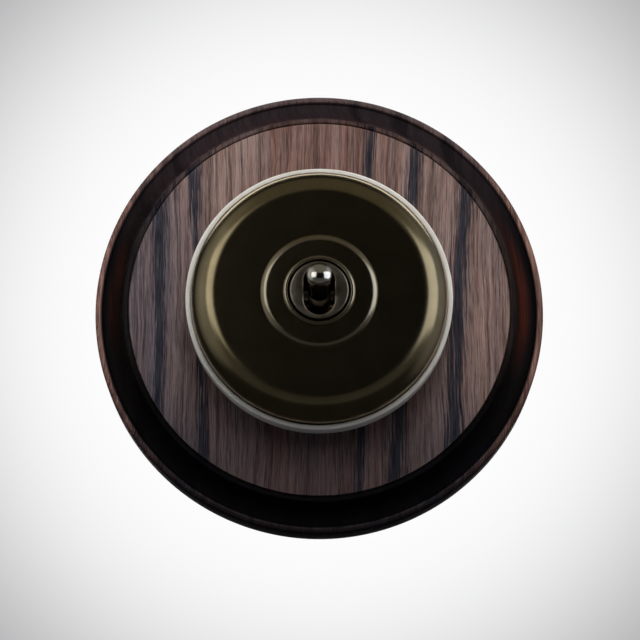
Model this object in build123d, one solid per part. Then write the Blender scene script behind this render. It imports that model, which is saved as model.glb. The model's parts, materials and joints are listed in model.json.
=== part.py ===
from build123d import *
import os
from math import cos, radians, sin, sqrt, tan

# A round two-way dolly switch on a turned wooden pattress, to be fixed to a wall.
# Sizes are in millimetres. The pieces are drawn as on the bench: x to the right, y up the wall and
# z out of the wall, from the middle of the pattress's back. They are then stood up against the wall,
# so that the finished part has z up and faces -y.

# Turned wooden pattress
pattress_diameter = 150.0
plateau_height = 20.0
lip_height = 13.1
lip_width = 2.8
lip_edge_drop = 1.5
cove_radius = 7.0
band_width = 1.3
band_drop = 0.5
quirk_width = 0.6
quirk_depth = 0.6
back_edge_round = 1.0
cable_hole_diameter = 48.0
wall_screw_spacing = 60.3
wall_screw_hole_diameter = 4.4
wall_screw_seat_diameter = 8.4
wall_screw_seat_depth = 3.6

# Spun metal cover
cover_diameter = 84.2
cover_sheet = 1.0
cover_skirt_shown = 0.7
cover_shoulder_radius = 8.5
ring_diameter = 38.2
ring_rise = 1.0
ring_round = 2.2
collar_diameter = 23.6
collar_rise = 1.0
collar_mouth_round = 0.3

# Glazed porcelain base
rim_width = 1.65
rim_round = 0.5
rebate_depth = 3.0
rebate_clearance = 0.15
foot_inset = 4.9
foot_height = 6.0
flange_height = 8.0
flange_edge_round = 0.8
spigot_rise = 1.6
spigot_clearance = 0.3
spigot_wall = 5.3
floor_thickness = 6.0
case_hole_diameter = 40.0
strap_boss_diameter = 10.4
glaze_round = 0.8

# Fasteners of the base
base_screw_circle = 58.0
base_screw_angle = 45.0
base_screw_diameter = 3.8
base_screw_length = 15.0
base_screw_point = 3.0
base_screw_head_diameter = 7.2
base_screw_head_height = 2.4
base_screw_head_round = 0.8
base_screw_slot = 0.9
base_washer_diameter = 8.4
base_washer_thickness = 1.0
screw_hole_clearance = 0.35
screw_head_round = 0.5
pilot_clearance = 0.05

# Bush, its nut and the strap
bush_diameter = 19.2
bush_gap = 0.7
bush_proud = 0.4
bush_body_step = 0.1
bush_head_height = 3.0
bush_bore_diameter = 16.4
bush_face_thickness = 2.5
bush_edge_chamfer = 0.25
slot_width = 10.1
slot_length = 16.2
bush_flange_diameter = 21.6
bush_flange_thickness = 1.0
bush_hole_clearance = 0.1
bush_nut_across_flats = 24.0
bush_nut_thickness = 2.3
nut_chamfer_angle = 30.0
thread_clearance = 0.03
strap_thickness = 1.5
strap_ear_width = 12.0
strap_ear_margin = 6.0
strap_screw_spacing = 54.0
strap_screw_diameter = 3.5
strap_screw_head_diameter = 6.4
strap_screw_head_height = 1.8
strap_screw_slot = 0.8
strap_screw_end_gap = 0.4
strap_nut_across_flats = 6.0
strap_nut_thickness = 2.8
nut_pocket_clearance = 0.15
nut_pocket_depth = 3.4

# Dolly, turned on its pivot, and what its tail holds
pivot_depth = 9.3
pivot_above_strap = 3.3
pivot_pin_diameter = 2.4
pivot_pin_inset = 0.1
pivot_clearance = 0.05
dolly_tilt = 12.0
dolly_length = 19.3
dolly_tip_diameter = 8.1
dolly_tip_rise = 3.3
dolly_neck_diameter = 6.6
dolly_neck_height = 5.0
dolly_ball_diameter = 9.2
dolly_barrel_diameter = 5.2
dolly_barrel_clearance = 0.25
dolly_tail_diameter = 6.0
dolly_tail_length = 8.5
tail_bore_end = 1.9
plunger_diameter = 3.4
plunger_clearance = 0.05
plunger_reach = 12.0
plunger_guided = 2.4
spring_diameter = 2.9
spring_wire_diameter = 0.3
spring_turns = 4.5
spring_seat_gap = 0.05

# Rocker and its pin
rocker_tilt = 10.0
rocker_gap = 0.1
rocker_thickness = 1.0
rocker_fold_overlap = 0.3
rocker_width = 7.0
rocker_wing = 9.6
rocker_eye_diameter = 3.0
rocker_pin_diameter = 1.6
rocker_pin_clearance = 0.05
rocker_pin_drop = 2.2
rocker_side_gap = 0.5
rocker_pin_head_diameter = 2.6
rocker_pin_head_thickness = 0.5
contact_place = 8.1
contact_diameter = 2.8
contact_height = 0.6
contact_gap = 0.12

# Moulded case, blades and terminals
case_width = 26.0
case_height = 29.0
case_depth = 19.5
case_wall = 1.8
case_floor = 2.0
case_corner_radius = 2.0
case_lug_diameter = 6.6
case_lug_thickness = 3.0
case_lug_reach = 3.4
pocket_depth = 7.0
pocket_clearance = 0.2
rivet_diameter = 2.6
rivet_head_diameter = 4.2
rivet_head_height = 0.8
blade_thickness = 0.8
blade_width = 5.0
blade_reach = 7.2
blade_slot_clearance = 0.1
terminal_width = 7.0
terminal_height = 6.0
terminal_length = 8.0
wire_hole_diameter = 3.4
wire_entry_diameter = 3.8
wire_hole_depth = 3.4
terminal_screw_diameter = 2.6
terminal_screw_head_diameter = 3.8
terminal_screw_head_height = 1.5
terminal_screw_slot = 0.7
earth_block_side = 5.6
earth_block_height = 5.6
earth_block_angle = -90.0
earth_wire_hole_diameter = 3.0
earth_wire_hole_height = 2.4
earth_rivet_diameter = 2.4

# How far a cut runs past the faces that it opens
overcut = 1.0

# Radii
pattress_radius = pattress_diameter / 2
cover_radius = cover_diameter / 2
ring_radius = ring_diameter / 2
collar_radius = collar_diameter / 2
bush_radius = bush_diameter / 2
bush_body_radius = bush_radius - bush_body_step
bush_bore_radius = bush_bore_diameter / 2
cover_hole_radius = bush_radius + bush_gap
rebate_radius = cover_radius + rebate_clearance
flange_radius = rebate_radius + rim_width
foot_radius = flange_radius - foot_inset
spigot_radius = cover_radius - cover_sheet - spigot_clearance
cavity_radius = spigot_radius - spigot_wall
base_screw_radius = base_screw_diameter / 2
strap_screw_radius = strap_screw_diameter / 2
plunger_radius = plunger_diameter / 2
rivet_radius = rivet_diameter / 2
terminal_screw_radius = terminal_screw_diameter / 2

# Heights above the wall
floor_top = plateau_height + floor_thickness
flange_bottom = plateau_height + foot_height
rim_top = flange_bottom + flange_height
cover_seat = rim_top - rebate_depth
cover_top = rim_top + cover_skirt_shown + cover_shoulder_radius
ring_top = cover_top + ring_rise
collar_top = ring_top + collar_rise
bush_face = collar_top + bush_proud
pivot = bush_face - pivot_depth
strap_top = pivot - pivot_above_strap
strap_bottom = strap_top - strap_thickness
rocker_top = pivot - plunger_reach - rocker_gap
rocker_pivot = rocker_top - rocker_pin_drop
wing_top = rocker_pivot + rocker_pin_drop * cos(radians(rocker_tilt))
wing_bottom = wing_top - rocker_thickness
blade_top = wing_bottom - 2 * contact_height - contact_gap
chamber_bottom = strap_bottom - case_depth
chamber_floor = chamber_bottom + case_floor
case_back = chamber_bottom - pocket_depth
terminal_back = chamber_bottom - terminal_length
wire_level = chamber_bottom - wire_hole_depth

# Distances from the middle
chamber_half_height = case_height / 2 - case_wall
blade_outer = chamber_half_height - pocket_clearance
terminal_place = blade_outer - terminal_height / 2
rivet_place = case_width / 2 + case_lug_reach
strap_plate_radius = rivet_place + case_lug_diameter / 2
strap_screw_head_inner = (strap_screw_spacing - strap_screw_head_diameter) / 2
earth_block_place = (bush_nut_across_flats / 2 + strap_screw_head_inner) / 2

on_wall = Rot(X=90)


def turned(section):
    """A solid turned about the z axis from a face of radii and heights."""
    return revolve(Plane.XZ * section, Axis.Z)


def rounded(section, radius, *corners):
    """A face with the corners nearest to the given points rounded."""
    found = []
    for across, up in corners:
        found.append(section.vertices().sort_by_distance((across, up, 0))[0])
    return fillet(found, radius)


def post(radius, low, high, x=0.0, y=0.0):
    """An upright cylinder between two heights."""
    return Pos(x, y, low) * extrude(Circle(radius), high - low)


def block(width, height, low, high, x=0.0, y=0.0):
    """An upright block between two heights."""
    return Pos(x, y, low) * extrude(Rectangle(width, height), high - low)


def hexagon(across_flats, low, high, x=0.0, y=0.0):
    """An upright hexagonal bar between two heights."""
    outline = RegularPolygon(across_flats / 2, 6, major_radius=False)
    return Pos(x, y, low) * extrude(outline, high - low)


def crossbar(radius, length, level, y=0.0):
    """A bar of round section across the switch, centred at a height."""
    return Pos(0, y, level) * Rot(Y=90) * Cylinder(radius, length)


def tilted(piece, level, angle):
    """A piece turned about the cross axis at a height: a positive angle tips its front down."""
    return Pos(0, 0, level) * Rot(X=angle) * Pos(0, 0, -level) * piece


def strap_screw_places():
    """The two screws in the strap's ears, above and below the middle."""
    return [(0.0, strap_screw_spacing / 2), (0.0, -strap_screw_spacing / 2)]


def base_screw_places():
    """The two opposite screws that hold the base to the pattress."""
    reach = base_screw_circle / 2
    x = reach * cos(radians(base_screw_angle))
    y = reach * sin(radians(base_screw_angle))
    return [(x, y), (-x, -y)]


def rivet_places():
    """The two rivets of the case, left and right."""
    return [(rivet_place, 0.0), (-rivet_place, 0.0)]


def terminal_places():
    """How far up the wall each of the three terminals lies."""
    return [-terminal_place, 0.0, terminal_place]


def nut_blank(across_flats, low, high):
    """A hexagonal nut without its hole, with the corners turned off at both faces."""
    flat = across_flats / 2
    corner = across_flats / sqrt(3)
    drop = (corner - flat) * tan(radians(nut_chamfer_angle))
    turning = make_face(Polyline(
        (0, low),
        (flat, low),
        (corner, low + drop),
        (corner, high - drop),
        (flat, high),
        (0, high),
        close=True,
    ))
    return hexagon(across_flats, low, high) & turned(turning)


def slotted_head(radius, height, slot, seat, x=0.0, y=0.0, rounding=screw_head_round):
    """A round screw head on a seat, with its upper edge rounded and a slot across it."""
    head = turned(rounded(Pos(radius / 2, seat + height / 2) * Rectangle(radius, height),
                          rounding, (radius, seat + height)))
    head -= Pos(0, 0, seat + height) * Box(3 * radius, slot, height)
    return Pos(x, y, 0) * head


def make_pattress():
    """Turned oak: plateau, quirk, band, cove and lip, with a hole for the case and the cables."""
    lip_inner = pattress_radius - lip_width
    cove_start = lip_inner - cove_radius
    band_start = cove_start - band_width
    plateau_radius = band_start - quirk_width
    band = plateau_height - band_drop
    cove_bottom = band - cove_radius
    lip_edge = lip_height - lip_edge_drop
    hole_radius = cable_hole_diameter / 2
    outline = Polyline(
        (pattress_radius, lip_edge),
        (pattress_radius, 0),
        (hole_radius, 0),
        (hole_radius, plateau_height),
        (plateau_radius, plateau_height),
        (plateau_radius + quirk_width / 2, band - quirk_depth),
        (band_start, band),
        (cove_start, band),
    )
    outline += CenterArc((lip_inner, band), cove_radius, 180, 90)
    lip_crown = (lip_inner + lip_width / 2, lip_height)
    outline += ThreePointArc((lip_inner, cove_bottom), lip_crown, (pattress_radius, lip_edge))
    body = turned(rounded(make_face(outline), back_edge_round, (pattress_radius, 0)))
    seat = plateau_height - wall_screw_seat_depth
    for side in (-1, 1):
        x = side * wall_screw_spacing / 2
        body -= post(wall_screw_hole_diameter / 2, -overcut, plateau_height + overcut, x)
        body -= post(wall_screw_seat_diameter / 2, seat, plateau_height + overcut, x)
    pilot_end = floor_top + base_washer_thickness - base_screw_length
    for x, y in base_screw_places():
        body -= post(base_screw_radius + pilot_clearance, pilot_end, plateau_height + overcut, x, y)
    return body


def make_porcelain_base():
    """One glazed piece: a foot, an overhanging flange, a spigot for the cover and two bosses."""
    hole_radius = case_hole_diameter / 2
    spigot_top = rim_top + spigot_rise
    section = make_face(Polyline(
        (hole_radius, plateau_height),
        (foot_radius, plateau_height),
        (foot_radius, flange_bottom),
        (flange_radius, flange_bottom),
        (flange_radius, rim_top),
        (rebate_radius, rim_top),
        (rebate_radius, cover_seat),
        (spigot_radius, cover_seat),
        (spigot_radius, spigot_top),
        (cavity_radius, spigot_top),
        (cavity_radius, floor_top),
        (hole_radius, floor_top),
        close=True,
    ))
    section = rounded(section, flange_edge_round, (flange_radius, flange_bottom))
    section = rounded(section, rim_round, (flange_radius, rim_top), (rebate_radius, rim_top))
    section = rounded(section, glaze_round, (foot_radius, flange_bottom),
                      (spigot_radius, spigot_top), (cavity_radius, spigot_top),
                      (cavity_radius, floor_top), (hole_radius, floor_top))
    body = turned(section)
    for x, y in strap_screw_places():
        body += post(strap_boss_diameter / 2, floor_top - glaze_round, strap_bottom, x, y)
        body -= post(strap_screw_radius + screw_hole_clearance, 0, strap_top, x, y)
        pocket = strap_nut_across_flats + 2 * nut_pocket_clearance
        body -= hexagon(pocket, 0, plateau_height + nut_pocket_depth, x, y)
    for x, y in base_screw_places():
        body -= post(base_screw_radius + screw_hole_clearance, 0, floor_top + overcut, x, y)
    return body


def make_dome_cover():
    """Spun sheet: skirt, broad shoulder, flat top, a raised middle and a collar round the hole."""
    shoulder_start = cover_radius - cover_shoulder_radius
    shoulder_level = rim_top + cover_skirt_shown
    inner_radius = cover_radius - cover_sheet
    ring_start = ring_radius - ring_round
    collar_start = collar_radius - collar_rise
    inside = cover_top - cover_sheet
    outline = Line((cover_radius, cover_seat), (cover_radius, shoulder_level))
    outline += CenterArc((shoulder_start, shoulder_level), cover_shoulder_radius, 0, 90)
    outline += Line((shoulder_start, cover_top), (ring_radius, cover_top))
    outline += TangentArc((ring_start, ring_top), (ring_radius, cover_top), tangent=(1, 0))
    outline += Line((ring_start, ring_top), (collar_radius, ring_top))
    outline += CenterArc((collar_start, ring_top), collar_rise, 0, 90)
    outline += Polyline(
        (collar_start, collar_top),
        (cover_hole_radius, collar_top),
        (cover_hole_radius, ring_top - cover_sheet),
        (ring_start - cover_sheet / 2, ring_top - cover_sheet),
        (ring_radius - cover_sheet / 2, inside),
        (shoulder_start, inside),
    )
    outline += CenterArc((shoulder_start, shoulder_level), cover_shoulder_radius - cover_sheet, 0, 90)
    outline += Polyline((inner_radius, shoulder_level), (inner_radius, cover_seat),
                        (cover_radius, cover_seat))
    section = rounded(make_face(outline), collar_mouth_round, (cover_hole_radius, collar_top))
    return turned(section)


def make_base_screws():
    """Two wood screws from the base's floor into the pattress."""
    seat = floor_top + base_washer_thickness
    tip = seat - base_screw_length
    shank = turned(make_face(Polyline(
        (0, seat),
        (base_screw_radius, seat),
        (base_screw_radius, tip + base_screw_point),
        (0, tip),
        close=True,
    )))
    head = slotted_head(base_screw_head_diameter / 2, base_screw_head_height, base_screw_slot, seat,
                        rounding=base_screw_head_round)
    screw = shank + head
    return [Pos(x, y, 0) * screw for x, y in base_screw_places()]


def make_base_washers():
    """Fibre washers that keep the screw heads off the glaze."""
    washers = []
    for x, y in base_screw_places():
        washer = post(base_washer_diameter / 2, floor_top, floor_top + base_washer_thickness, x, y)
        washers.append(washer - post(base_screw_radius + pilot_clearance, 0, rim_top, x, y))
    return washers


def make_strap_screws():
    """Two machine screws through the strap's ears and the base's bosses."""
    end = plateau_height + strap_screw_end_gap
    screws = []
    for x, y in strap_screw_places():
        head = slotted_head(strap_screw_head_diameter / 2, strap_screw_head_height,
                            strap_screw_slot, strap_top, x, y)
        screws.append(head + post(strap_screw_radius, end, strap_top, x, y))
    return screws


def make_strap_nuts():
    """Their nuts, at the top of the pockets in the base's back."""
    seat = plateau_height + nut_pocket_depth
    nuts = []
    for x, y in strap_screw_places():
        nut = nut_blank(strap_nut_across_flats, seat - strap_nut_thickness, seat)
        nut -= post(strap_screw_radius + thread_clearance, 0, strap_top)
        nuts.append(Pos(x, y, 0) * nut)
    return nuts


def make_switch_strap():
    """A round steel plate with two ears, which carries the bush in front and the case behind."""
    ear_reach = strap_screw_spacing + 2 * strap_ear_margin
    plate = Circle(strap_plate_radius) + Rot(Z=90) * SlotOverall(ear_reach, strap_ear_width)
    body = Pos(0, 0, strap_bottom) * extrude(plate, strap_thickness)
    body -= post(bush_body_radius + bush_hole_clearance, 0, bush_face)
    for x, y in strap_screw_places():
        body -= post(strap_screw_radius + screw_hole_clearance, 0, bush_face, x, y)
    for x, y in rivet_places():
        body -= post(rivet_radius, 0, bush_face, x, y)
    return body - at_earth(post(earth_rivet_diameter / 2, 0, bush_face))


def make_dolly_bush():
    """A turned bush with a flange behind the strap, a thread for its nut and a slotted face."""
    flange_bottom_level = strap_bottom - bush_flange_thickness
    flange = bush_flange_diameter / 2
    head = bush_face - bush_head_height
    under_face = bush_face - bush_face_thickness
    section = make_face(Polyline(
        (bush_bore_radius, flange_bottom_level),
        (flange, flange_bottom_level),
        (flange, strap_bottom),
        (bush_body_radius, strap_bottom),
        (bush_body_radius, head),
        (bush_radius, head),
        (bush_radius, bush_face - bush_edge_chamfer),
        (bush_radius - bush_edge_chamfer, bush_face),
        (0, bush_face),
        (0, under_face),
        (bush_bore_radius, under_face),
        close=True,
    ))
    slot = Rot(Z=90) * SlotOverall(slot_length, slot_width)
    lip = Rot(Z=90) * SlotOverall(slot_length + 2 * bush_edge_chamfer,
                                  slot_width + 2 * bush_edge_chamfer)
    body = turned(section)
    body -= Pos(0, 0, under_face - overcut) * extrude(slot, bush_face_thickness + 2 * overcut)
    body -= loft([Pos(0, 0, bush_face - bush_edge_chamfer) * slot, Pos(0, 0, bush_face) * lip])
    body -= crossbar(pivot_pin_diameter / 2, 3 * bush_radius, pivot)
    return body


def make_bush_nut():
    """A hexagon nut that clamps the strap against the bush's flange."""
    nut = nut_blank(bush_nut_across_flats, strap_top, strap_top + bush_nut_thickness)
    return nut - post(bush_body_radius + thread_clearance, 0, bush_face)


def make_dolly():
    """A turned lever: domed tip, tapered neck, ball and barrel on the pin, and a bored tail."""
    tip_radius = dolly_tip_diameter / 2
    neck_radius = dolly_neck_diameter / 2
    widest = dolly_length - dolly_tip_rise
    dome_radius = (tip_radius**2 + dolly_tip_rise**2) / (2 * dolly_tip_rise)
    half_way = tip_radius / 2
    dome_half_way = dolly_length - dome_radius + sqrt(dome_radius**2 - half_way**2)
    outline = ThreePointArc((0, dolly_length), (half_way, dome_half_way), (tip_radius, widest))
    outline += Polyline((tip_radius, widest), (neck_radius, dolly_neck_height), (neck_radius, 0),
                        (0, 0), (0, dolly_length))
    barrel_radius = dolly_barrel_diameter / 2
    barrel_half = sqrt(bush_bore_radius**2 - barrel_radius**2) - dolly_barrel_clearance
    lever = turned(make_face(outline))
    lever += Sphere(dolly_ball_diameter / 2)
    lever += crossbar(barrel_radius, 2 * barrel_half, 0)
    lever += post(dolly_tail_diameter / 2, -dolly_tail_length, 0)
    lever -= crossbar(pivot_pin_diameter / 2 + pivot_clearance, 3 * bush_radius, 0)
    bore_start = -dolly_tail_length - overcut
    lever -= post(plunger_radius + plunger_clearance, bore_start, -tail_bore_end)
    return tilted(Pos(0, 0, pivot) * lever, pivot, -dolly_tilt)


def make_pivot_pin():
    """The pin across the bush that the dolly turns on."""
    return crossbar(pivot_pin_diameter / 2, 2 * (bush_body_radius - pivot_pin_inset), pivot)


def plunger_top():
    """How far the plunger's inner end lies behind the pivot."""
    return dolly_tail_length - plunger_guided


def make_plunger():
    """An insulating plunger with a round end that bears on the rocker."""
    round_centre = pivot - plunger_reach + plunger_radius
    body = post(plunger_radius, round_centre, pivot - plunger_top())
    body += Pos(0, 0, round_centre) * Sphere(plunger_radius)
    return tilted(body, pivot, -dolly_tilt)


def make_plunger_spring():
    """A compression spring between the plunger and the end of the tail's bore."""
    wire_radius = spring_wire_diameter / 2
    coil_radius = spring_diameter / 2 - wire_radius
    room = plunger_top() - tail_bore_end
    height = room - 2 * (wire_radius + spring_seat_gap)
    path = Helix(height / spring_turns, height, coil_radius)
    wire = Plane(origin=path @ 0, z_dir=path % 0) * Circle(wire_radius)
    low = pivot - plunger_top() + wire_radius + spring_seat_gap
    return tilted(Pos(0, 0, low) * sweep(wire, path=path), pivot, -dolly_tilt)


def both_wings(low_wing):
    """What lies on the lower wing at rest, with its like on the other wing."""
    middle = tilted(low_wing, rocker_pivot, -rocker_tilt)
    return tilted(middle, rocker_pivot, rocker_tilt), tilted(mirror(middle, Plane.XZ), rocker_pivot,
                                                             rocker_tilt)


def make_rocker():
    """A folded contact plate: two wings in a shallow V over an eye for the rocker pin."""
    fold = -rocker_pin_drop * sin(radians(rocker_tilt))
    length = rocker_wing + rocker_fold_overlap
    wing_middle = fold + rocker_fold_overlap - length / 2
    wing = block(rocker_width, length, wing_bottom, wing_top, 0, wing_middle)
    low, high = both_wings(wing)
    plate = low + high
    plate += crossbar(rocker_eye_diameter / 2, rocker_width, rocker_pivot)
    return plate - crossbar(rocker_pin_diameter / 2 + rocker_pin_clearance, 2 * rocker_width,
                            rocker_pivot)


def make_moving_contacts():
    """A contact button under each wing of the rocker."""
    button = post(contact_diameter / 2, wing_bottom - contact_height, wing_bottom, 0, -contact_place)
    return list(both_wings(button))


def bracket_inner():
    """Half the width between the ears of the common bracket."""
    return rocker_width / 2 + rocker_side_gap


def make_rocker_pin():
    """A headed pin in the ears of the common bracket."""
    outer = bracket_inner() + blade_thickness
    pin = crossbar(rocker_pin_diameter / 2, 2 * outer, rocker_pivot)
    for side in (-1, 1):
        x = side * (outer + rocker_pin_head_thickness / 2)
        pin += Pos(x, 0, 0) * crossbar(rocker_pin_head_diameter / 2, rocker_pin_head_thickness,
                                       rocker_pivot)
    return pin


def make_common_bracket():
    """A folded brass bracket: two ears, a base on the case's floor and a leg to its terminal."""
    inner = bracket_inner()
    ear_profile = Pos(0, rocker_pivot) * Circle(blade_width / 2)
    ear_height = rocker_pivot - chamber_floor
    ear_profile += Pos(0, chamber_floor + ear_height / 2) * Rectangle(blade_width, ear_height)
    ear = extrude(Plane.YZ * ear_profile, blade_thickness)
    bracket = Pos(inner, 0, 0) * ear + Pos(-inner - blade_thickness, 0, 0) * ear
    base_top = chamber_floor + blade_thickness
    bracket += block(2 * inner + blade_thickness, blade_width, chamber_floor, base_top)
    bracket += block(blade_width, blade_thickness, chamber_bottom, base_top)
    return bracket - crossbar(rocker_pin_diameter / 2, 4 * rocker_width, rocker_pivot)


def make_throw_contact(side):
    """A brass blade with a leg to its terminal, below the middle for -1 and above it for 1."""
    leg_middle = side * (blade_outer - blade_thickness / 2)
    arm_middle = side * (blade_outer - blade_reach / 2)
    leg = block(blade_width, blade_thickness, chamber_bottom, blade_top, 0, leg_middle)
    return leg + block(blade_width, blade_reach, blade_top - blade_thickness, blade_top, 0, arm_middle)


def make_fixed_contacts():
    """A contact button on each throw contact."""
    radius = contact_diameter / 2
    return [post(radius, blade_top, blade_top + contact_height, 0, side * contact_place)
            for side in (-1, 1)]


def make_switch_case():
    """A moulded case: an open chamber in front, three terminal pockets behind and two lugs."""
    outline = RectangleRounded(case_width, case_height, case_corner_radius)
    body = Pos(0, 0, case_back) * extrude(outline, strap_bottom - case_back)
    lug_bottom = strap_bottom - case_lug_thickness
    lug_width = 2 * rivet_place
    body += block(lug_width, case_lug_diameter, lug_bottom, strap_bottom)
    for x, y in rivet_places():
        body += post(case_lug_diameter / 2, lug_bottom, strap_bottom, x, y)
        body -= post(rivet_radius, 0, strap_top, x, y)
    body -= block(case_width - 2 * case_wall, case_height - 2 * case_wall, chamber_floor,
                  strap_top)
    pocket_width = terminal_width + 2 * pocket_clearance
    pocket_height = terminal_height + 2 * pocket_clearance
    slot_across = blade_width + 2 * blade_slot_clearance
    slot_up = blade_thickness + 2 * blade_slot_clearance
    for y in terminal_places():
        body -= block(pocket_width, pocket_height, case_back - overcut, chamber_bottom, 0, y)
        body -= crossbar(wire_entry_diameter / 2, 2 * case_width, wire_level, y)
    leg_middle = blade_outer - blade_thickness / 2
    for y in (-leg_middle, 0.0, leg_middle):
        body -= block(slot_across, slot_up, chamber_bottom - overcut, chamber_floor + overcut, 0, y)
    return body


def make_case_rivets():
    """Two rivets through the strap and the case's lugs."""
    low = strap_bottom - case_lug_thickness
    rivets = []
    for x, y in rivet_places():
        rivet = post(rivet_radius, low, strap_top, x, y)
        rivet += post(rivet_head_diameter / 2, low - rivet_head_height, low, x, y)
        rivet += post(rivet_head_diameter / 2, strap_top, strap_top + rivet_head_height, x, y)
        rivets.append(rivet)
    return rivets


def make_terminal(y):
    """A brass pillar with a hole across it for the wire and one from behind for its screw."""
    pillar = block(terminal_width, terminal_height, terminal_back, chamber_bottom, 0, y)
    pillar -= crossbar(wire_hole_diameter / 2, 2 * terminal_width, wire_level, y)
    return pillar - post(terminal_screw_radius + thread_clearance, 0, wire_level, 0, y)


def make_clamp_screw(seat, length):
    """A slotted clamp screw that points down from its seat, drawn on the middle line."""
    head = slotted_head(terminal_screw_head_diameter / 2, terminal_screw_head_height,
                        terminal_screw_slot, seat)
    return head + post(terminal_screw_radius, seat - length, seat)


def make_terminal_screws():
    """Three clamp screws in the terminals, with their heads behind."""
    length = terminal_length - wire_hole_depth - wire_hole_diameter / 2
    screw = Rot(X=180) * make_clamp_screw(0, length)
    return [Pos(0, y, terminal_back) * screw for y in terminal_places()]


def at_earth(piece):
    """A piece drawn on the middle line, moved to the earth terminal's place on the strap."""
    return Rot(Z=earth_block_angle) * Pos(earth_block_place, 0, 0) * piece


def make_earth_terminal():
    """A brass block riveted to the strap, with a hole across it for the earth wire."""
    top = strap_top + earth_block_height
    body = block(earth_block_side, earth_block_side, strap_top, top)
    body += post(earth_rivet_diameter / 2, strap_bottom, strap_top)
    wire_height = strap_top + earth_wire_hole_height
    body -= Pos(0, 0, wire_height) * Rot(X=90) * Cylinder(earth_wire_hole_diameter / 2,
                                                         2 * earth_block_side)
    body -= post(terminal_screw_radius + thread_clearance, wire_height, top + overcut)
    return at_earth(body)


def make_earth_screw():
    """The clamp screw of the earth terminal."""
    seat = strap_top + earth_block_height
    length = earth_block_height - earth_wire_hole_height - earth_wire_hole_diameter / 2
    return at_earth(make_clamp_screw(seat, length))


nodes = {
    "pattress": make_pattress(),
    "porcelain_base": make_porcelain_base(),
    "dome_cover": make_dome_cover(),
    "base_screws": make_base_screws(),
    "base_washers": make_base_washers(),
    "strap_screws": make_strap_screws(),
    "strap_nuts": make_strap_nuts(),
    "switch_strap": make_switch_strap(),
    "dolly_bush": make_dolly_bush(),
    "bush_nut": make_bush_nut(),
    "dolly": make_dolly(),
    "pivot_pin": make_pivot_pin(),
    "plunger": make_plunger(),
    "plunger_spring": make_plunger_spring(),
    "rocker": make_rocker(),
    "moving_contacts": make_moving_contacts(),
    "rocker_pin": make_rocker_pin(),
    "common_bracket": make_common_bracket(),
    "throw_contact_lower": make_throw_contact(-1),
    "throw_contact_upper": make_throw_contact(1),
    "fixed_contacts": make_fixed_contacts(),
    "switch_case": make_switch_case(),
    "case_rivets": make_case_rivets(),
    "terminal_lower": make_terminal(-terminal_place),
    "terminal_common": make_terminal(0.0),
    "terminal_upper": make_terminal(terminal_place),
    "terminal_screws": make_terminal_screws(),
    "earth_terminal": make_earth_terminal(),
    "earth_screw": make_earth_screw(),
}

os.makedirs("parts", exist_ok=True)
for name, piece in nodes.items():
    solids = piece if isinstance(piece, list) else [piece]
    export_step(on_wall * Compound(children=solids), f"parts/{name}.step")
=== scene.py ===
import bmesh
import bpy
import json
from math import acos, atan2, cos, degrees, pi, radians, sin, sqrt, tan, tau
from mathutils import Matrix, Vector


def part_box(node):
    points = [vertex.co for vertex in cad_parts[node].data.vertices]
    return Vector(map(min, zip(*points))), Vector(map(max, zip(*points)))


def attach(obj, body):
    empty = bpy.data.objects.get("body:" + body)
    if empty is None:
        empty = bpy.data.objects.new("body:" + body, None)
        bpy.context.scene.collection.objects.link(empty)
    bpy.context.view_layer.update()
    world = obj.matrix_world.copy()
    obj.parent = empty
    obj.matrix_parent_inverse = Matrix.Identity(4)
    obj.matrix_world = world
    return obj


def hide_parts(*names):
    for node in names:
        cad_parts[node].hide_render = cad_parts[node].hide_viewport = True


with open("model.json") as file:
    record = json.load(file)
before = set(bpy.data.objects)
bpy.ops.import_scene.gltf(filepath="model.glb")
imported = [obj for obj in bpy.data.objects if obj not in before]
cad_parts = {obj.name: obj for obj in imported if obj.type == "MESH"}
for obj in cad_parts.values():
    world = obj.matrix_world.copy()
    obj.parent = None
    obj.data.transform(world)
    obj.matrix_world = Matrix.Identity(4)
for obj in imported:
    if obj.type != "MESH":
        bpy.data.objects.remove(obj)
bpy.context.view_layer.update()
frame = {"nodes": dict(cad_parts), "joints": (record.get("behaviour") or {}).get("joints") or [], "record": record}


# The pattress
# One piece of open-grained oak, turned on a lathe. It is stained nearly black, then the flat and
# the crown of the lip are rubbed back and polished. Two machine screws hold it to the wall box.
mm = 0.001
weld = 0.001 * mm               # points nearer than this become one
pattress_low, pattress_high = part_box("pattress")
pattress_radius = pattress_high.x / mm
plateau_height = -pattress_low.y / mm
lip_width = 2.8
lip_height = 13.1
lip_edge = 11.6
cove_radius = 7.0
band_width = 1.3
band_height = 19.5
quirk_width = 0.6
quirk_depth = 0.6
quirk_floor = (0.42, 0.58)      # from side to side of the quirk, as shares of its width
arris_width = 0.1
arris_drop = 0.06
back_round = 1.0
cable_hole_radius = 24.0
wall_screw_place = 30.15
wall_screw_hole_radius = 2.2
wall_screw_seat_radius = 4.2
wall_screw_seat_depth = 3.6
overshoot = 1.0                 # how far a drill goes past a face
lip_inner = pattress_radius - lip_width
lip_start = band_height - cove_radius
cove_start = lip_inner - cove_radius
plateau_radius = cove_start - band_width - quirk_width


def arc(across, up, radius, start, end, steps):
    """Points of an arc in an outline, about a radius and a height, between angles in degrees."""
    angles = [radians(start + (end - start) * step / steps) for step in range(steps + 1)]
    return [(across + radius * cos(angle), up + radius * sin(angle)) for angle in angles]


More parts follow.
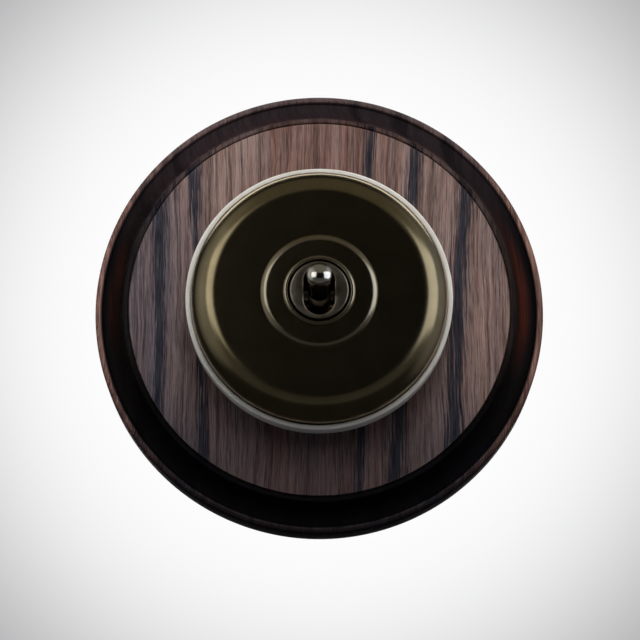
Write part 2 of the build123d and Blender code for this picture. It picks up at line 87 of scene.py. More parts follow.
def arc_through(first, middle, last, steps):
    """Points of the arc through three points of an outline."""
    (ax, ay), (bx, by), (cx, cy) = first, middle, last
    spread = 2 * (ax * (by - cy) + bx * (cy - ay) + cx * (ay - by))
    a, b, c = ax**2 + ay**2, bx**2 + by**2, cx**2 + cy**2
    across = (a * (by - cy) + b * (cy - ay) + c * (ay - by)) / spread
    up = (a * (cx - bx) + b * (ax - cx) + c * (bx - ax)) / spread
    radius = sqrt((ax - across)**2 + (ay - up)**2)
    start, end = degrees(atan2(ay - up, ax - across)), degrees(atan2(cy - up, cx - across))
    return arc(across, up, radius, start, end, steps)


def settle(piece, name, crease=35):
    """Puts a finished piece's place into its mesh and shades it smooth up to its creases."""
    piece.name = piece.data.name = name
    bpy.ops.object.select_all(action="DESELECT")
    piece.select_set(True)
    bpy.context.view_layer.objects.active = piece
    bpy.ops.object.transform_apply(location=True, rotation=True, scale=True)
    bpy.ops.object.shade_smooth_by_angle(angle=radians(crease))
    return piece


def turned(name, outline, steps=192):
    """A piece turned about the switch's middle line, from an outline of radii and heights in mm."""
    bpy.ops.object.select_all(action="DESELECT")
    radius, height = outline[0]
    bpy.ops.mesh.primitive_plane_add(size=mm, location=(radius * mm, -height * mm, 0))
    bpy.ops.object.mode_set(mode="EDIT")
    bpy.ops.mesh.merge(type="CENTER")
    for before, after in zip(outline, outline[1:]):
        step = ((after[0] - before[0]) * mm, (before[1] - after[1]) * mm, 0)
        bpy.ops.mesh.extrude_region_move(TRANSFORM_OT_translate={"value": step})
    bpy.ops.mesh.select_all(action="SELECT")
    bpy.ops.mesh.spin(steps=steps, angle=tau, center=(0, 0, 0), axis=(0, 1, 0))
    bpy.ops.mesh.select_all(action="SELECT")
    bpy.ops.mesh.remove_doubles(threshold=weld)
    bpy.ops.mesh.normals_make_consistent(inside=False)
    bpy.ops.object.mode_set(mode="OBJECT")
    return settle(bpy.context.object, name)


def peg(radius, low, high, x=0.0, z=0.0, sides=64):
    """A peg between two heights above the wall, to drill with or to join on."""
    bpy.ops.object.select_all(action="DESELECT")
    middle = -(low + high) / 2
    bpy.ops.mesh.primitive_cylinder_add(vertices=sides, radius=radius * mm,
                                        depth=(high - low) * mm,
                                        location=(x * mm, middle * mm, z * mm),
                                        rotation=(pi / 2, 0, 0))
    return bpy.context.object


def combine(piece, operation, tool):
    """Cuts a tool out of a piece, or joins it on, and clears the tool away."""
    change = piece.modifiers.new("work", "BOOLEAN")
    change.operation = operation
    change.object = tool
    bpy.context.view_layer.objects.active = piece
    bpy.ops.object.modifier_apply(modifier=change.name)
    bpy.data.objects.remove(tool)


pattress = turned("oak_pattress", [
    (cable_hole_radius, 0),
    (cable_hole_radius, plateau_height),
    (plateau_radius - arris_width, plateau_height),
    (plateau_radius, plateau_height - arris_drop),
    *[(plateau_radius + share * quirk_width, band_height - quirk_depth) for share in quirk_floor],
    (plateau_radius + quirk_width, band_height - arris_drop),
    (plateau_radius + quirk_width + arris_width, band_height),
    (cove_start - arris_width / 2, band_height),
    *arc(lip_inner, band_height, cove_radius, 180, 270, steps=24),
    *arc_through((lip_inner, lip_start), (lip_inner + lip_width / 2, lip_height),
                 (pattress_radius, lip_edge), steps=14)[1:],
    *arc(pattress_radius - back_round, back_round, back_round, 0, -90, steps=6),
    (cable_hole_radius, 0),
], steps=256)
for side in (-1, 1):
    x = side * wall_screw_place
    top = plateau_height + overshoot
    combine(pattress, "DIFFERENCE", peg(wall_screw_hole_radius, -overshoot, top, x))
    seat_bottom = plateau_height - wall_screw_seat_depth
    combine(pattress, "DIFFERENCE", peg(wall_screw_seat_radius, seat_bottom, top, x))
settle(pattress, "oak_pattress")


class Shade:
    """One output in a material's nodes. Sums and products of shades add Math nodes."""

    def __init__(self, tree, socket=None):
        self.tree = tree
        self.socket = socket

    def node(self, kind, settings={}, sockets={}, output=0):
        """Adds a node, sets it, fills its sockets with values or shades, and gives one output."""
        made = self.tree.nodes.new(kind)
        for name, value in settings.items():
            setattr(made, name, value)
        for name, value in sockets.items():
            if isinstance(value, Shade):
                self.tree.links.new(value.socket, made.inputs[name])
            else:
                made.inputs[name].default_value = value
        return Shade(self.tree, made.outputs[output] if made.outputs else None)

    def math(self, operation, *terms):
        return self.node("ShaderNodeMath", {"operation": operation}, dict(enumerate(terms)))

    def __add__(self, other):
        return self.math("ADD", self, other)

    def __sub__(self, other):
        return self.math("SUBTRACT", self, other)

    def __rsub__(self, other):
        return self.math("SUBTRACT", other, self)

    def __mul__(self, other):
        return self.math("MULTIPLY", self, other)

    def __truediv__(self, other):
        return self.math("DIVIDE", self, other)

    def __rtruediv__(self, other):
        return self.math("DIVIDE", other, self)

    __radd__ = __add__
    __rmul__ = __mul__

    def size(self):
        return self.math("ABSOLUTE", self)

    def along(self, direction):
        """How far a place lies along a direction."""
        return self.node("ShaderNodeVectorMath", {"operation": "DOT_PRODUCT"},
                         {0: self, 1: direction}, "Value")

    def radius(self):
        """How far a place lies from the switch's middle line."""
        flat = self.node("ShaderNodeVectorMath", {"operation": "MULTIPLY"}, {0: self, 1: (1, 0, 1)})
        return flat.node("ShaderNodeVectorMath", {"operation": "LENGTH"}, {0: flat}, "Value")

    def most(self, other):
        return self.math("MAXIMUM", self, other)

    def least(self, other):
        return self.math("MINIMUM", self, other)

    def scaled(self, amount):
        """A place or a colour times an amount, so that a colour darkens where it is under 1."""
        return self.node("ShaderNodeVectorMath", {"operation": "SCALE"}, {0: self, "Scale": amount})

    def between(self, low, high):
        """0 up to low and 1 from high with a smooth step, or the reverse where low is higher."""
        return self.node("ShaderNodeMapRange", {"interpolation_type": "SMOOTHSTEP"},
                         {"Value": self, "From Min": low, "From Max": high})

    def mix(self, first, second):
        """The first colour where this is 0, and the second where it is 1."""
        return self.node("ShaderNodeMix", {"data_type": "RGBA"}, {0: self, 6: first, 7: second}, 2)

    def drift(self, first, second):
        """A colour that drifts between two, for noise."""
        return self.between(0.3, 0.7).mix(first, second)

    def swing(self, amount):
        """A shift of up to half an amount to either side, for noise."""
        return (self - 0.5) * amount

    def axes(self):
        """The three distances of a place."""
        split = self.node("ShaderNodeSeparateXYZ", {}, {0: self})
        return [Shade(self.tree, socket) for socket in split.socket.node.outputs]

    def noise(self, size, detail=2.0, roughness=0.5):
        """Noise about 0.5, with features of a size in mm along each axis."""
        place = self.node("ShaderNodeVectorMath", {"operation": "DIVIDE"}, {0: self, 1: size})
        settings = {"Vector": place, "Scale": 1.0, "Detail": detail, "Roughness": roughness}
        return place.node("ShaderNodeTexNoise", {}, settings)


def seen(red, green, blue):
    """A colour as a screen shows it, from 0 to 255, as a shader needs it."""
    return (*[((level / 255 + 0.055) / 1.055)**2.4 for level in (red, green, blue)], 1.0)


def new_finish(name):
    """An empty material and the place on its piece, in mm."""
    made = bpy.data.materials.new(name)
    made.use_nodes = True
    made.node_tree.nodes.clear()
    place = Shade(made.node_tree).node("ShaderNodeTexCoord", output="Object")
    return made, place.scaled(1 / mm)


def close_finish(place, relief, depth, **sockets):
    """A material's shader, with a relief of a depth in mm and values or shades for its sockets."""
    normal = place.node("ShaderNodeBump", {}, {"Height": relief, "Distance": depth * mm})
    named = {name.replace("_", " "): value for name, value in sockets.items()}
    shader = place.node("ShaderNodeBsdfPrincipled", {}, {"Normal": normal, **named})
    place.node("ShaderNodeOutputMaterial", {}, {"Surface": shader})


def dress(finish, *pieces):
    """Gives pieces a finish in place of what they have."""
    for piece in pieces:
        piece.data.materials.clear()
        piece.data.materials.append(finish)


# Each dark band: where it crosses the middle of the face in mm, its lean, and half its width
dark_bands = [(-53.6, 0.0, 1.5), (-40.2, -0.042, 1.5), (15.0, 0.038, 1.3), (28.8, 0.062, 1.9),
              (46.6, 0.06, 2.5)]
stained_oak, place = new_finish("stained oak")
across, deep, along = place.axes()
deep = deep + plateau_height    # 0 at the face and plateau_height at the back
radius = place.radius()

# The grain runs up the face, and slants as it goes back into the block
wander = place.noise((30, 60, 45)).swing(4) + place.noise((16, 30, 60)).swing(0.8)
grain_across = across + deep * 0.8 + wander
grain = place.node("ShaderNodeCombineXYZ", {}, {"X": grain_across, "Y": deep * 0.6, "Z": along})
fibres = grain.noise((2.4, 7, 120), 5.0, 0.9)
flecks = grain.noise((0.32, 0.9, 9), 2.0, 0.7)
strands = grain.noise((0.7, 2, 36), 2.0, 0.6)
streaks = grain.noise((2, 4, 45), 3.0)
patches = grain.noise((7, 12, 60), 1.0)
lines = grain.noise((2.4, 5, 70), 2.0).between(0.62, 0.72)
pores = flecks.between(0.6, 0.7)
tone = fibres.between(0.38, 0.62) * 0.6 + flecks.between(0.34, 0.66) * 0.4
dark = 0.0
for middle, lean, half_width in dark_bands:
    off = (grain_across - middle - along * lean).size() / half_width
    frayed = off + strands.swing(6) + flecks.swing(2)
    dark = frayed.between(1.6, 0.5) * off.between(2.3, 1.3) + dark
dark = (dark + lines * 0.45).least(1.0)

# The face: brown, with a redder heart, grey to the left and below that is partly the oak's own tone and partly a
# painted sheen, and near black in the bands
brown = tone.mix(seen(62, 46, 43), seen(178, 150, 141))
red = tone.mix(seen(66, 41, 36), seen(162, 121, 107))
grey = tone.mix(seen(40, 35, 42), seen(128, 117, 125))
band_colour = flecks.between(0.35, 0.7).mix(seen(24, 27, 38), seen(58, 60, 72))
heart = across.between(-28, -12) * across.between(38, 12) * 0.7
heart = (heart + streaks.between(0.42, 0.6) * 0.6 - 0.15).least(1.0).most(0.0)
# Grey to the left and below: the oak's tone, with a painted sheen laid over it
grey_and_sheen = across.between(-30, -58) * 0.85 + along.between(-25, -50) * 0.5
grey_and_sheen = (grey_and_sheen + patches.swing(0.9) + strands.swing(1.2)).least(1.0).most(0.0)
wood = grey_and_sheen.mix(heart.mix(brown, red), grey)
wood = (pores * 0.6).mix(wood, seen(46, 33, 32))
wood = (dark * 0.93).mix(wood, band_colour)

# The lip's crown: rubbed back to brown, duller above, and made near black below with painted shade
crown_start, crown_full = lip_inner + 0.5, lip_inner + 1.4
in_front = deep.between(18, 13)
on_lip = radius.between(crown_start, crown_full) * in_front
crown_wear_and_shade = tone.mix(seen(74, 46, 38), seen(160, 118, 104))
crown_wear_and_shade = along.between(30, 70).mix(crown_wear_and_shade, seen(94, 79, 79)).scaled(tone * 0.7 + 0.62)
# Painted shade: the crown's colour turns near black below
crown_wear_and_shade = along.between(-20, -66).mix(crown_wear_and_shade, seen(30, 25, 31))
wood = (on_lip * (0.9 - dark * 0.5)).mix(wood, crown_wear_and_shade)

# The band, the cove and the side: stained nearly black, with painted light over the stain, a red glow in the
# cove's right flank, and band and cove lighter above and darker below
# The band's stain carries painted shade: it is lighter above and full black below
band_stain_and_shade = 0.93 - along.between(5, 60) * 0.33 + along.between(0, -30) * 0.07
in_band = radius.between(plateau_radius - 0.2, plateau_radius + 0.5) * band_stain_and_shade
in_cove = radius.between(cove_start - 0.3, cove_start + 2.2) * (1.0 - band_stain_and_shade)
stained = (in_band + in_cove) * radius.between(crown_full, crown_start) * in_front
on_side = radius.between(pattress_radius - 0.6, pattress_radius - 0.1)
# A red glow of painted light in the cove's right flank
glow = across.between(-40, 60) * 0.6 + patches.between(0.45, 0.6) * 0.2
glow = glow * along.between(-24, -2) * along.between(40, 6)
glow = glow * (streaks.between(0.35, 0.6) * 0.6 + 0.4)
glow = glow * radius.between(cove_start + 0.8, cove_start + 2.8)
glow = glow * radius.between(lip_inner - 0.9, lip_inner - 3.4)
black = glow.mix(seen(9, 4, 4), seen(96, 38, 17))
# Painted light and shade: the black is lighter above and darker, bluer below
black = along.between(15, 65).mix(black, seen(46, 35, 38))
black = along.between(-30, -60).mix(black, seen(9, 8, 14))
black = black.scaled((tone * 0.7 + 0.6) * (1.0 - dark * 0.5))
wood = (stained + on_side * 0.6).least(1.0).mix(wood, black)

# Painted shade: the front's colour darkens downwards and to the upper left, and the back is left as bare oak
shade_above = along.between(15, 50) * across.between(-30, -5) * 0.16
wood = wood.scaled(along.between(-66, -10) * 0.42 + 0.58 - shade_above)
bare = tone.mix(seen(112, 88, 66), seen(178, 150, 118)).scaled(1.0 - dark * 0.35)
at_back = (deep + flecks.swing(1.5)).between(plateau_height - 0.9, plateau_height - 0.3)
wood = at_back.mix(wood, bare)
relief = fibres * 0.35 - pores * 0.8 - dark * 0.25
close_finish(place, relief, 0.06, Base_Color=wood, Roughness=0.6 - tone * 0.12, Coat_Weight=0.03,
             Coat_Roughness=0.25, Specular_IOR_Level=0.08)
dress(stained_oak, pattress)
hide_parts("pattress")
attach(pattress, "fixed")


# The porcelain base
# One glazed piece with a foot, an overhanging flange whose rim shows round the cover, and a spigot
# that the cover screws on to. Two wood screws through fibre washers hold it to the pattress.
base_low, base_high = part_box("porcelain_base")
cover_low, cover_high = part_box("dome_cover")
strap_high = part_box("switch_strap")[1]
rim_radius = base_high.x / mm
cover_radius = cover_high.x / mm
strap_bottom = -strap_high.y / mm
rim_top = 34.0
flange_bottom = 26.0
rebate_depth = 3.0
rebate_clearance = 0.15
rebate_radius = cover_radius + rebate_clearance
flange_overhang = 4.9
foot_radius = rim_radius - flange_overhang
spigot_radius = 40.8
spigot_top = -base_low.y / mm
cavity_radius = 35.5
floor_top = 26.0
case_hole_radius = 20.0
glaze_round = 0.8
rim_round = 0.5
boss_radius = 5.2
strap_screw_place = 27.0
strap_screw_hole_radius = 2.1
base_screw_reach = 29.0
base_screw_place = base_screw_reach / sqrt(2)
base_screw_hole_radius = 2.25
nut_pocket_flats = 6.3
nut_pocket_radius = nut_pocket_flats / sqrt(3)
nut_pocket_depth = 3.4


def rounded(across, up, radius, start, steps=6):
    """A quarter-round edge of an outline, about its centre, turning left from an angle."""
    return arc(across, up, radius, start, start + 90, steps)


base = turned("glazed_base", [
    (case_hole_radius, plateau_height),
    (foot_radius, plateau_height),
    *arc(foot_radius + glaze_round, flange_bottom - glaze_round, glaze_round, 180, 90, steps=6),
    *rounded(rim_radius - glaze_round, flange_bottom + glaze_round, glaze_round, -90, steps=8),
    *rounded(rim_radius - rim_round, rim_top - rim_round, rim_round, 0, steps=8),
    *rounded(rebate_radius + rim_round, rim_top - rim_round, rim_round, 90, steps=8),
    (rebate_radius, rim_top - rebate_depth),
    (spigot_radius, rim_top - rebate_depth),
    *rounded(spigot_radius - glaze_round, spigot_top - glaze_round, glaze_round, 0),
    *rounded(cavity_radius + glaze_round, spigot_top - glaze_round, glaze_round, 90),
    *arc(cavity_radius - glaze_round, floor_top + glaze_round, glaze_round, 0, -90, steps=6),
    *rounded(case_hole_radius + glaze_round, floor_top - glaze_round, glaze_round, 90),
    (case_hole_radius, plateau_height),
])
for side in (-1, 1):
    z = side * strap_screw_place
    pocket_top = plateau_height + nut_pocket_depth
    combine(base, "UNION", peg(boss_radius, floor_top - glaze_round, strap_bottom, z=z))
    combine(base, "DIFFERENCE", peg(strap_screw_hole_radius, 0, strap_bottom + overshoot, z=z))
    combine(base, "DIFFERENCE", peg(nut_pocket_radius, 0, pocket_top, z=z, sides=6))
    diagonal = side * base_screw_place
    combine(base, "DIFFERENCE", peg(base_screw_hole_radius, 0, floor_top + overshoot,
                                    x=diagonal, z=diagonal))
settle(base, "glazed_base")

white_glaze, place = new_finish("white glaze")
cloud = place.noise((16, 16, 16), 3.0)
ripple = place.noise((5, 5, 5), 2.0)
specks = place.noise((0.5, 0.5, 0.5)).between(0.74, 0.78)
glaze = cloud.drift(seen(226, 221, 211), seen(236, 232, 223))
glaze = (specks * 0.35).mix(glaze, seen(150, 140, 125))
close_finish(place, ripple + cloud, 0.06, Base_Color=glaze, Roughness=0.22 + cloud * 0.1,
             Coat_Weight=0.5, Coat_Roughness=0.06)
dress(white_glaze, base)
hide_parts("porcelain_base")
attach(base, "fixed")


# The cover
# Spun brass under a satin bronze lacquer: a short skirt, a broad shoulder, a nearly flat top and a
# raised middle with a collar round its hole. Its skirt goes down inside the porcelain rim.
sheet = 1.0
shoulder = 8.5
skirt_bottom = -cover_high.y / mm
collar_top = -cover_low.y / mm
collar_height = 1.0
ring_height = 1.0
ring_top = collar_top - collar_height
cover_top = ring_top - ring_height
ring_radius = 19.1
ring_flat_radius = 16.9
ring_bulge = (0.56, 0.293)      # where the ring's curve passes, as shares of its width and height
crease_width = 0.02
collar_radius = 11.8
collar_flat_radius = 10.8
cover_hole_radius = 10.3
mouth_round = 0.3
shoulder_level = cover_top - shoulder
shoulder_start = cover_radius - shoulder
ring_middle = (ring_flat_radius + (ring_radius - ring_flat_radius) * ring_bulge[0],
               ring_top - ring_bulge[1] * ring_height)
cover = turned("bronze_cover", [
    (cover_radius, skirt_bottom),
    *arc(shoulder_start, shoulder_level, shoulder, 0, 90, steps=40),
    (ring_radius + crease_width, cover_top),
    *arc_through((ring_radius, cover_top), ring_middle, (ring_flat_radius, ring_top), steps=12),
    *arc(collar_flat_radius, ring_top, collar_height, 0, 90, steps=12),
    *rounded(cover_hole_radius + mouth_round, collar_top - mouth_round, mouth_round, 90, steps=5),
    (cover_hole_radius, ring_top - sheet),
    (ring_flat_radius - sheet / 2, ring_top - sheet),
    (ring_radius - sheet / 2, cover_top - sheet),
    *arc(shoulder_start, shoulder_level, shoulder - sheet, 90, 0, steps=24),
    (cover_radius - sheet, skirt_bottom),
    (cover_radius, skirt_bottom),
])

antique_bronze, place = new_finish("antique bronze")
radius = place.radius()
mottle = place.noise((7, 7, 7), 4.0)
spun = place.node("ShaderNodeCombineXYZ", {}, {"X": radius, "Y": mottle * 0.2})
spun = spun.noise((0.25, 1, 1), 2.0)
orange_peel = place.noise((0.7, 0.7, 0.7), 2.0)
bronze = mottle.drift(seen(155, 142, 110), seen(163, 150, 118))
on_ring = radius.between(ring_flat_radius - 0.3, ring_flat_radius + 0.6)
on_ring = on_ring * radius.between(ring_radius, ring_radius - 0.8)
on_collar = radius.between(collar_radius + 0.1, collar_radius - 0.4)
handled = (on_ring + on_collar) * (mottle * 0.8 + 0.3)
bronze = handled.mix(bronze, seen(178, 169, 150))
close_finish(place, spun * 0.5 + orange_peel, 0.004, Base_Color=bronze, Metallic=1.0,
             Roughness=0.195 + mottle * 0.03)
dress(antique_bronze, cover)
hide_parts("dome_cover")
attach(cover, "fixed")


# The dolly's bush
# Turned and slotted brass with a satin dark nickel finish. It comes up through the cover's hole
# from the strap, where a flange behind and a nut in front hold it.
bush_low, bush_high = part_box("dolly_bush")
bush_face = -bush_low.y / mm
bush_back = -bush_high.y / mm
bush_radius = 9.6
bush_body_radius = 9.5
bush_bore_radius = 8.2
bush_flange_radius = bush_high.x / mm
bush_head = 3.0
bush_face_thickness = 2.5
bush_flange_thickness = 1.0
bush_round = 0.45
slot_radius = 5.05
slot_half_length = 8.1
slot_pull = slot_half_length - slot_radius


def pick(sides, half):
    """Selects the newest ring of a skin, or only its upper or its lower half."""
    bpy.ops.mesh.select_all(action="DESELECT")
    mesh = bmesh.from_edit_mesh(bpy.context.object.data)
    for corner in list(mesh.verts)[-sides:]:
        corner.select_set(half * corner.co.z >= 0)
    mesh.select_flush(True)


def pull_apart(sides, way):
    """Moves the halves of the newest ring of a skin apart, or back together."""
    for half in (1, -1):
        pick(sides, half)
        bpy.ops.transform.translate(value=(0, 0, half * way * mm))
    pick(sides, 0)


def ringed(name, rings, sides=96):
    """A closed skin through rings, of radii, heights and how far their halves are pulled apart."""
    bpy.ops.object.select_all(action="DESELECT")
    radius, height, pull = rings[0]
    bpy.ops.mesh.primitive_circle_add(vertices=sides, radius=radius * mm,
                                      location=(0, -height * mm, 0),
                                      rotation=(pi / 2, pi / sides, 0))
    bpy.ops.object.transform_apply(location=True, rotation=True, scale=True)
    bpy.ops.object.mode_set(mode="EDIT")
    pull_apart(sides, pull)
    for before, after in zip(rings, rings[1:] + rings[:1]):
        step = (0, (before[1] - after[1]) * mm, 0)
        bpy.ops.mesh.extrude_region_move(TRANSFORM_OT_translate={"value": step})
        pull_apart(sides, -before[2])
        growth = after[0] / before[0]
        bpy.ops.transform.resize(value=(growth, 1, growth), center_override=(0, -after[1] * mm, 0))
        pull_apart(sides, after[2])
    bpy.ops.mesh.select_all(action="SELECT")
    bpy.ops.mesh.remove_doubles(threshold=weld)
    bpy.ops.mesh.normals_make_consistent(inside=False)
    bpy.ops.object.mode_set(mode="OBJECT")
    return settle(bpy.context.object, name)


slot_edge = rounded(slot_radius + bush_round, bush_face - bush_round, bush_round, 90, steps=4)
face_edge = rounded(bush_radius - bush_round, bush_face - bush_round, bush_round, 0, steps=4)
bush = ringed("slotted_bush", [
    *[(radius, height, slot_pull) for radius, height in slot_edge],
    (slot_radius, bush_face - bush_face_thickness, slot_pull),
    (bush_bore_radius, bush_face - bush_face_thickness, 0),
    (bush_bore_radius, bush_back, 0),
    (bush_flange_radius, bush_back, 0),
    (bush_flange_radius, bush_back + bush_flange_thickness, 0),
    (bush_body_radius, bush_back + bush_flange_thickness, 0),
    (bush_body_radius, bush_face - bush_head, 0),
    (bush_radius, bush_face - bush_head, 0),
    *[(radius, height, 0) for radius, height in face_edge],
])

dark_nickel, place = new_finish("dark nickel")
radius = place.radius()
turning = place.node("ShaderNodeCombineXYZ", {}, {"X": radius}).noise((0.12, 1, 1), 2.0)
smoke = place.noise((3, 3, 3), 2.0)
nickel = smoke.drift(seen(154, 144, 126), seen(172, 162, 144))
close_finish(place, turning, 0.004, Base_Color=nickel, Metallic=1.0, Roughness=0.27 + smoke * 0.1)
dress(dark_nickel, bush)
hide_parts("dolly_bush")
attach(bush, "fixed")


# The dolly
# A turned and nickel-plated brass lever with a domed end, a tapered neck, and a ball and barrel
# that the pivot pin goes through. Its bored tail holds the plunger. It tilts in the bush's slot.
hinge = next(joint for joint in frame["joints"] if joint["name"] == "lever_tilt")
pivot = -hinge["pos_m"][1] / mm
rest_tilt = 12.0
tip_length = 19.25
tip_radius = 4.05
end_radius = 6.1
end_round = 1.0
neck_radius = 3.3
neck_start = 5.0
ball_radius = 4.6
barrel_radius = 2.6
barrel_half = 7.53
tail_radius = 3.0
tail_length = 8.5
bore_radius = 1.75
bore_end = 1.9
pin_radius = 1.2
pin_clearance = 0.05
end_level = pivot + tip_length - end_radius
round_place = tip_radius - end_round
round_level = end_level + sqrt((end_radius - end_round)**2 - round_place**2)
round_angle = degrees(atan2(round_level - end_level, round_place))
neck_touch = degrees(acos(neck_radius / ball_radius))
tail_touch = degrees(acos(tail_radius / ball_radius))
dolly = turned("nickel_dolly", [
    (0, pivot + tip_length),
    *arc(0, end_level, end_radius, 90, round_angle, steps=20)[1:],
    *arc(round_place, round_level, end_round, round_angle, 0, steps=10)[1:],
    (neck_radius, pivot + neck_start),
    *arc(0, pivot, ball_radius, neck_touch, -tail_touch, steps=20),
    (tail_radius, pivot - tail_length),
    (bore_radius, pivot - tail_length),
    (bore_radius, pivot - bore_end),
    (0, pivot - bore_end),
], steps=128)


def crossbar(radius, half_length, height):
    """A bar of round section across the switch at a height above the wall."""
    bpy.ops.object.select_all(action="DESELECT")
    bpy.ops.mesh.primitive_cylinder_add(vertices=48, radius=radius * mm,
                                        depth=2 * half_length * mm,
                                        location=(0, -height * mm, 0), rotation=(0, pi / 2, 0))
    return bpy.context.object


combine(dolly, "UNION", crossbar(barrel_radius, barrel_half, pivot))
combine(dolly, "DIFFERENCE", crossbar(pin_radius + pin_clearance, 2 * barrel_half, pivot))
combine(bush, "DIFFERENCE", crossbar(pin_radius, 2 * bush_radius, pivot))
bpy.ops.object.select_all(action="DESELECT")
bpy.context.view_layer.objects.active = dolly
dolly.select_set(True)
bpy.ops.object.mode_set(mode="EDIT")
bpy.ops.mesh.select_all(action="SELECT")
bpy.ops.transform.rotate(value=radians(rest_tilt), orient_axis="X",
                         center_override=(0, -pivot * mm, 0))
bpy.ops.object.mode_set(mode="OBJECT")
settle(dolly, "nickel_dolly")
settle(bush, "slotted_bush")

polished_nickel, place = new_finish("polished nickel")
breath = place.noise((2.5, 2.5, 2.5), 2.0)
hairlines = place.noise((0.15, 0.6, 4.0), 2.0)
nickel = breath.drift(seen(226, 221, 212), seen(236, 232, 224))
across = place.axes()[0]
# The barrel beyond the neck is darker and duller, as grease and as painted shade down inside the bush
greased_and_shaded = across.size().between(neck_radius + 0.1, neck_radius + 0.7)
nickel = (greased_and_shaded * 0.9).mix(nickel, seen(72, 66, 57))
close_finish(place, hairlines, 0.0015, Base_Color=nickel, Metallic=1.0,
             Roughness=0.11 + breath * 0.06 + greased_and_shaded * 0.2)
dress(polished_nickel, dolly)
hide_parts("dolly")
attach(dolly, "lever")


# What is inside
# The strap, its screws and nuts, the case with its blades and terminals, and the small parts that
# the dolly drives keep their CAD shapes, and get the finish of their metal or moulding.
def plain_metal(name, low, high, roughness):
    """Machined or plated metal with a slight mottle and fine tool marks."""
    made, place = new_finish(name)
    mottle = place.noise((2, 2, 2), 3.0)
    marks = place.noise((0.2, 1.5, 0.2), 2.0)
    close_finish(place, marks, 0.006, Base_Color=mottle.drift(low, high), Metallic=1.0,
                 Roughness=roughness + mottle * 0.15)
    return made


def moulded(name, low, high, roughness):
    """A moulding or fibre with a fine grain."""
    made, place = new_finish(name)
    mottle = place.noise((4, 4, 4), 3.0)
    grit = place.noise((0.3, 0.3, 0.3), 2.0)
    close_finish(place, grit, 0.01, Base_Color=mottle.drift(low, high),
                 Roughness=roughness + mottle * 0.15)
    return made


inner_finishes = {
    "zinc_steel": plain_metal("zinc plate", seen(176, 178, 180), seen(206, 208, 210), 0.28),
    "brass": plain_metal("brass", seen(188, 158, 92), seen(214, 184, 116), 0.24),
    "contact_silver": plain_metal("silver alloy", seen(214, 212, 206), seen(230, 228, 224), 0.2),
    "spring_steel": plain_metal("spring wire", seen(150, 150, 152), seen(184, 184, 186), 0.3),
    "black_moulding": moulded("black moulding", seen(26, 23, 21), seen(40, 36, 33), 0.35),
    "white_nylon": moulded("white nylon", seen(218, 215, 205), seen(232, 230, 222), 0.4),
    "red_fibre": moulded("red fibre", seen(110, 38, 30), seen(140, 56, 44), 0.7),
}
slots = {part["node"]: part["material_slot"] for part in frame["record"]["subparts"]}
for name, node in frame["nodes"].items():
    if slots[name] in inner_finishes:
        dress(inner_finishes[slots[name]], node)


# The studio
# A camera in front of the switch and a little below it, soft boxes and their spill for the metal,
# soft lamps above, beside and behind for the rest, and a white surround that the metal sees dim.
view_distance = 1.0
view_width = 0.2143
view_elevation = radians(-12.5)
aim = Vector((0.00025, -0.012, -0.0026))
camera = bpy.data.objects.new("camera", bpy.data.cameras.new("camera"))
bpy.context.scene.collection.objects.link(camera)
bpy.context.scene.camera = camera
camera.data.sensor_width = 36
camera.data.lens = camera.data.sensor_width * view_distance / view_width
backwards = Vector((0, -cos(view_elevation), sin(view_elevation)))
camera.location = aim + backwards * view_distance
camera.rotation_euler = (-backwards).to_track_quat("-Z", "Y").to_euler()

lamps_face = Vector((0, -0.035, 0))
cool, cooler = (0.96, 1.0, 1.12), (0.9, 0.97, 1.12)
warm, warmer = (1.0, 0.95, 0.85), (1.0, 0.9, 0.7)


def lamp(name, turns, rises, level, tint=(1, 1, 1), distance=0.9, fade=False,
         on_metal=True, on_rest=True):
    """A soft box that spans angles to the right of the front and above it, in degrees."""
    turn, rise = radians(sum(turns) / 2), radians(sum(rises) / 2)
    made = bpy.data.objects.new(name, bpy.data.lights.new(name, "AREA"))
    bpy.context.scene.collection.objects.link(made)
    made.data.shape = "RECTANGLE"
    made.data.size = 2 * distance * tan(radians(turns[1] - turns[0]) / 2)
    made.data.size_y = 2 * distance * tan(radians(rises[1] - rises[0]) / 2)
    made.data.energy = level * pi * made.data.size * made.data.size_y
    if fade:
        made.data.spread = radians(turns[1] - turns[0])
        made.data.energy *= 1 - made.data.spread / 2 / tan(made.data.spread / 2)
    made.data.color = tint
    towards = Vector((sin(turn) * cos(rise), -cos(turn) * cos(rise), sin(rise)))
    made.location = lamps_face + towards * distance
    made.rotation_euler = towards.to_track_quat("Z", "Y").to_euler()
    made.visible_camera = False
    made.visible_glossy = on_metal
    made.visible_diffuse = on_rest


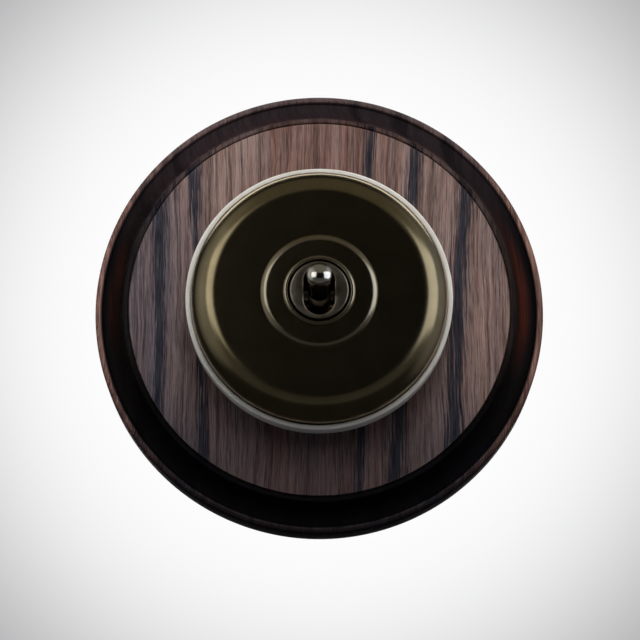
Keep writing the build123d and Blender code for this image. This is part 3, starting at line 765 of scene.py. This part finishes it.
lamp("right soft box", (31, 75), (-5, 33), 1.08, cool, on_rest=False)
lamp("right spill", (45, 145), (-36, 64), 0.32, cool, fade=True, on_rest=False)
lamp("left soft box", (-47, -19), (1, 30), 1.0, on_rest=False)
lamp("left spill", (-115, -25), (-30, 60), 0.4, fade=True, on_rest=False)
lamp("top card", (-50, 50), (26, 86), 0.1, warmer, on_rest=False)
lamp("low card", (-60, 60), (-42, -8), 0.045, warm, on_rest=False)
lamp("top lamp", (-15, 25), (30, 66), 5.2, distance=0.6, on_metal=False)
lamp("low fill", (-40, 40), (-80, -50), 0.36, cooler, on_metal=False)
lamp("front fill", (-28, 34), (8, 34), 1.6, on_metal=False)
lamp("right lamp", (92, 132), (-15, 45), 2.2, on_metal=False)
lamp("left lamp", (-132, -92), (-15, 45), 2.2, on_metal=False)
lamp("back lamp", (140, 220), (4, 64), 1.9)

# Faces that look forward mirror the room above the camera, so it is darkest there
world = bpy.data.worlds.new("surround")
bpy.context.scene.world = world
world.use_nodes = True
world.node_tree.nodes.clear()
room_dim, room_dark = (0.016, 0.016, 0.015, 1), (0.001, 0.001, 0.001, 1)
dark_rise = radians(13)
towards = Shade(world.node_tree).node("ShaderNodeTexCoord", output="Generated")
front = towards.along((0, -cos(dark_rise), sin(dark_rise)))
dim = front.between(0.7, 0.95).mix(room_dim, room_dark)

# Behind the switch the surround is white, and dims towards the corners of the picture
middle_white, corner_grey = (0.98, 0.98, 0.98, 1), (0.42, 0.42, 0.43, 1)
side_white = (0.97, 0.97, 0.97, 1)
away = towards.along(-backwards)
white = away.between(0.986, 0.998).mix(corner_grey, middle_white)
white = away.between(0.988, 0.984).mix(white, side_white)
rays = {name: towards.node("ShaderNodeLightPath", output=f"Is {name} Ray")
        for name in ("Camera", "Glossy", "Transmission")}
shown = rays["Camera"] + (rays["Glossy"] + rays["Transmission"]) * away.between(0.95, 0.985)
tone = shown.least(1.0).mix(dim, white)
surround = towards.node("ShaderNodeBackground", {}, {"Color": tone, "Strength": 1.0})
towards.node("ShaderNodeOutputWorld", {}, {"Surface": surround})
bpy.context.scene.view_settings.view_transform = "Standard"
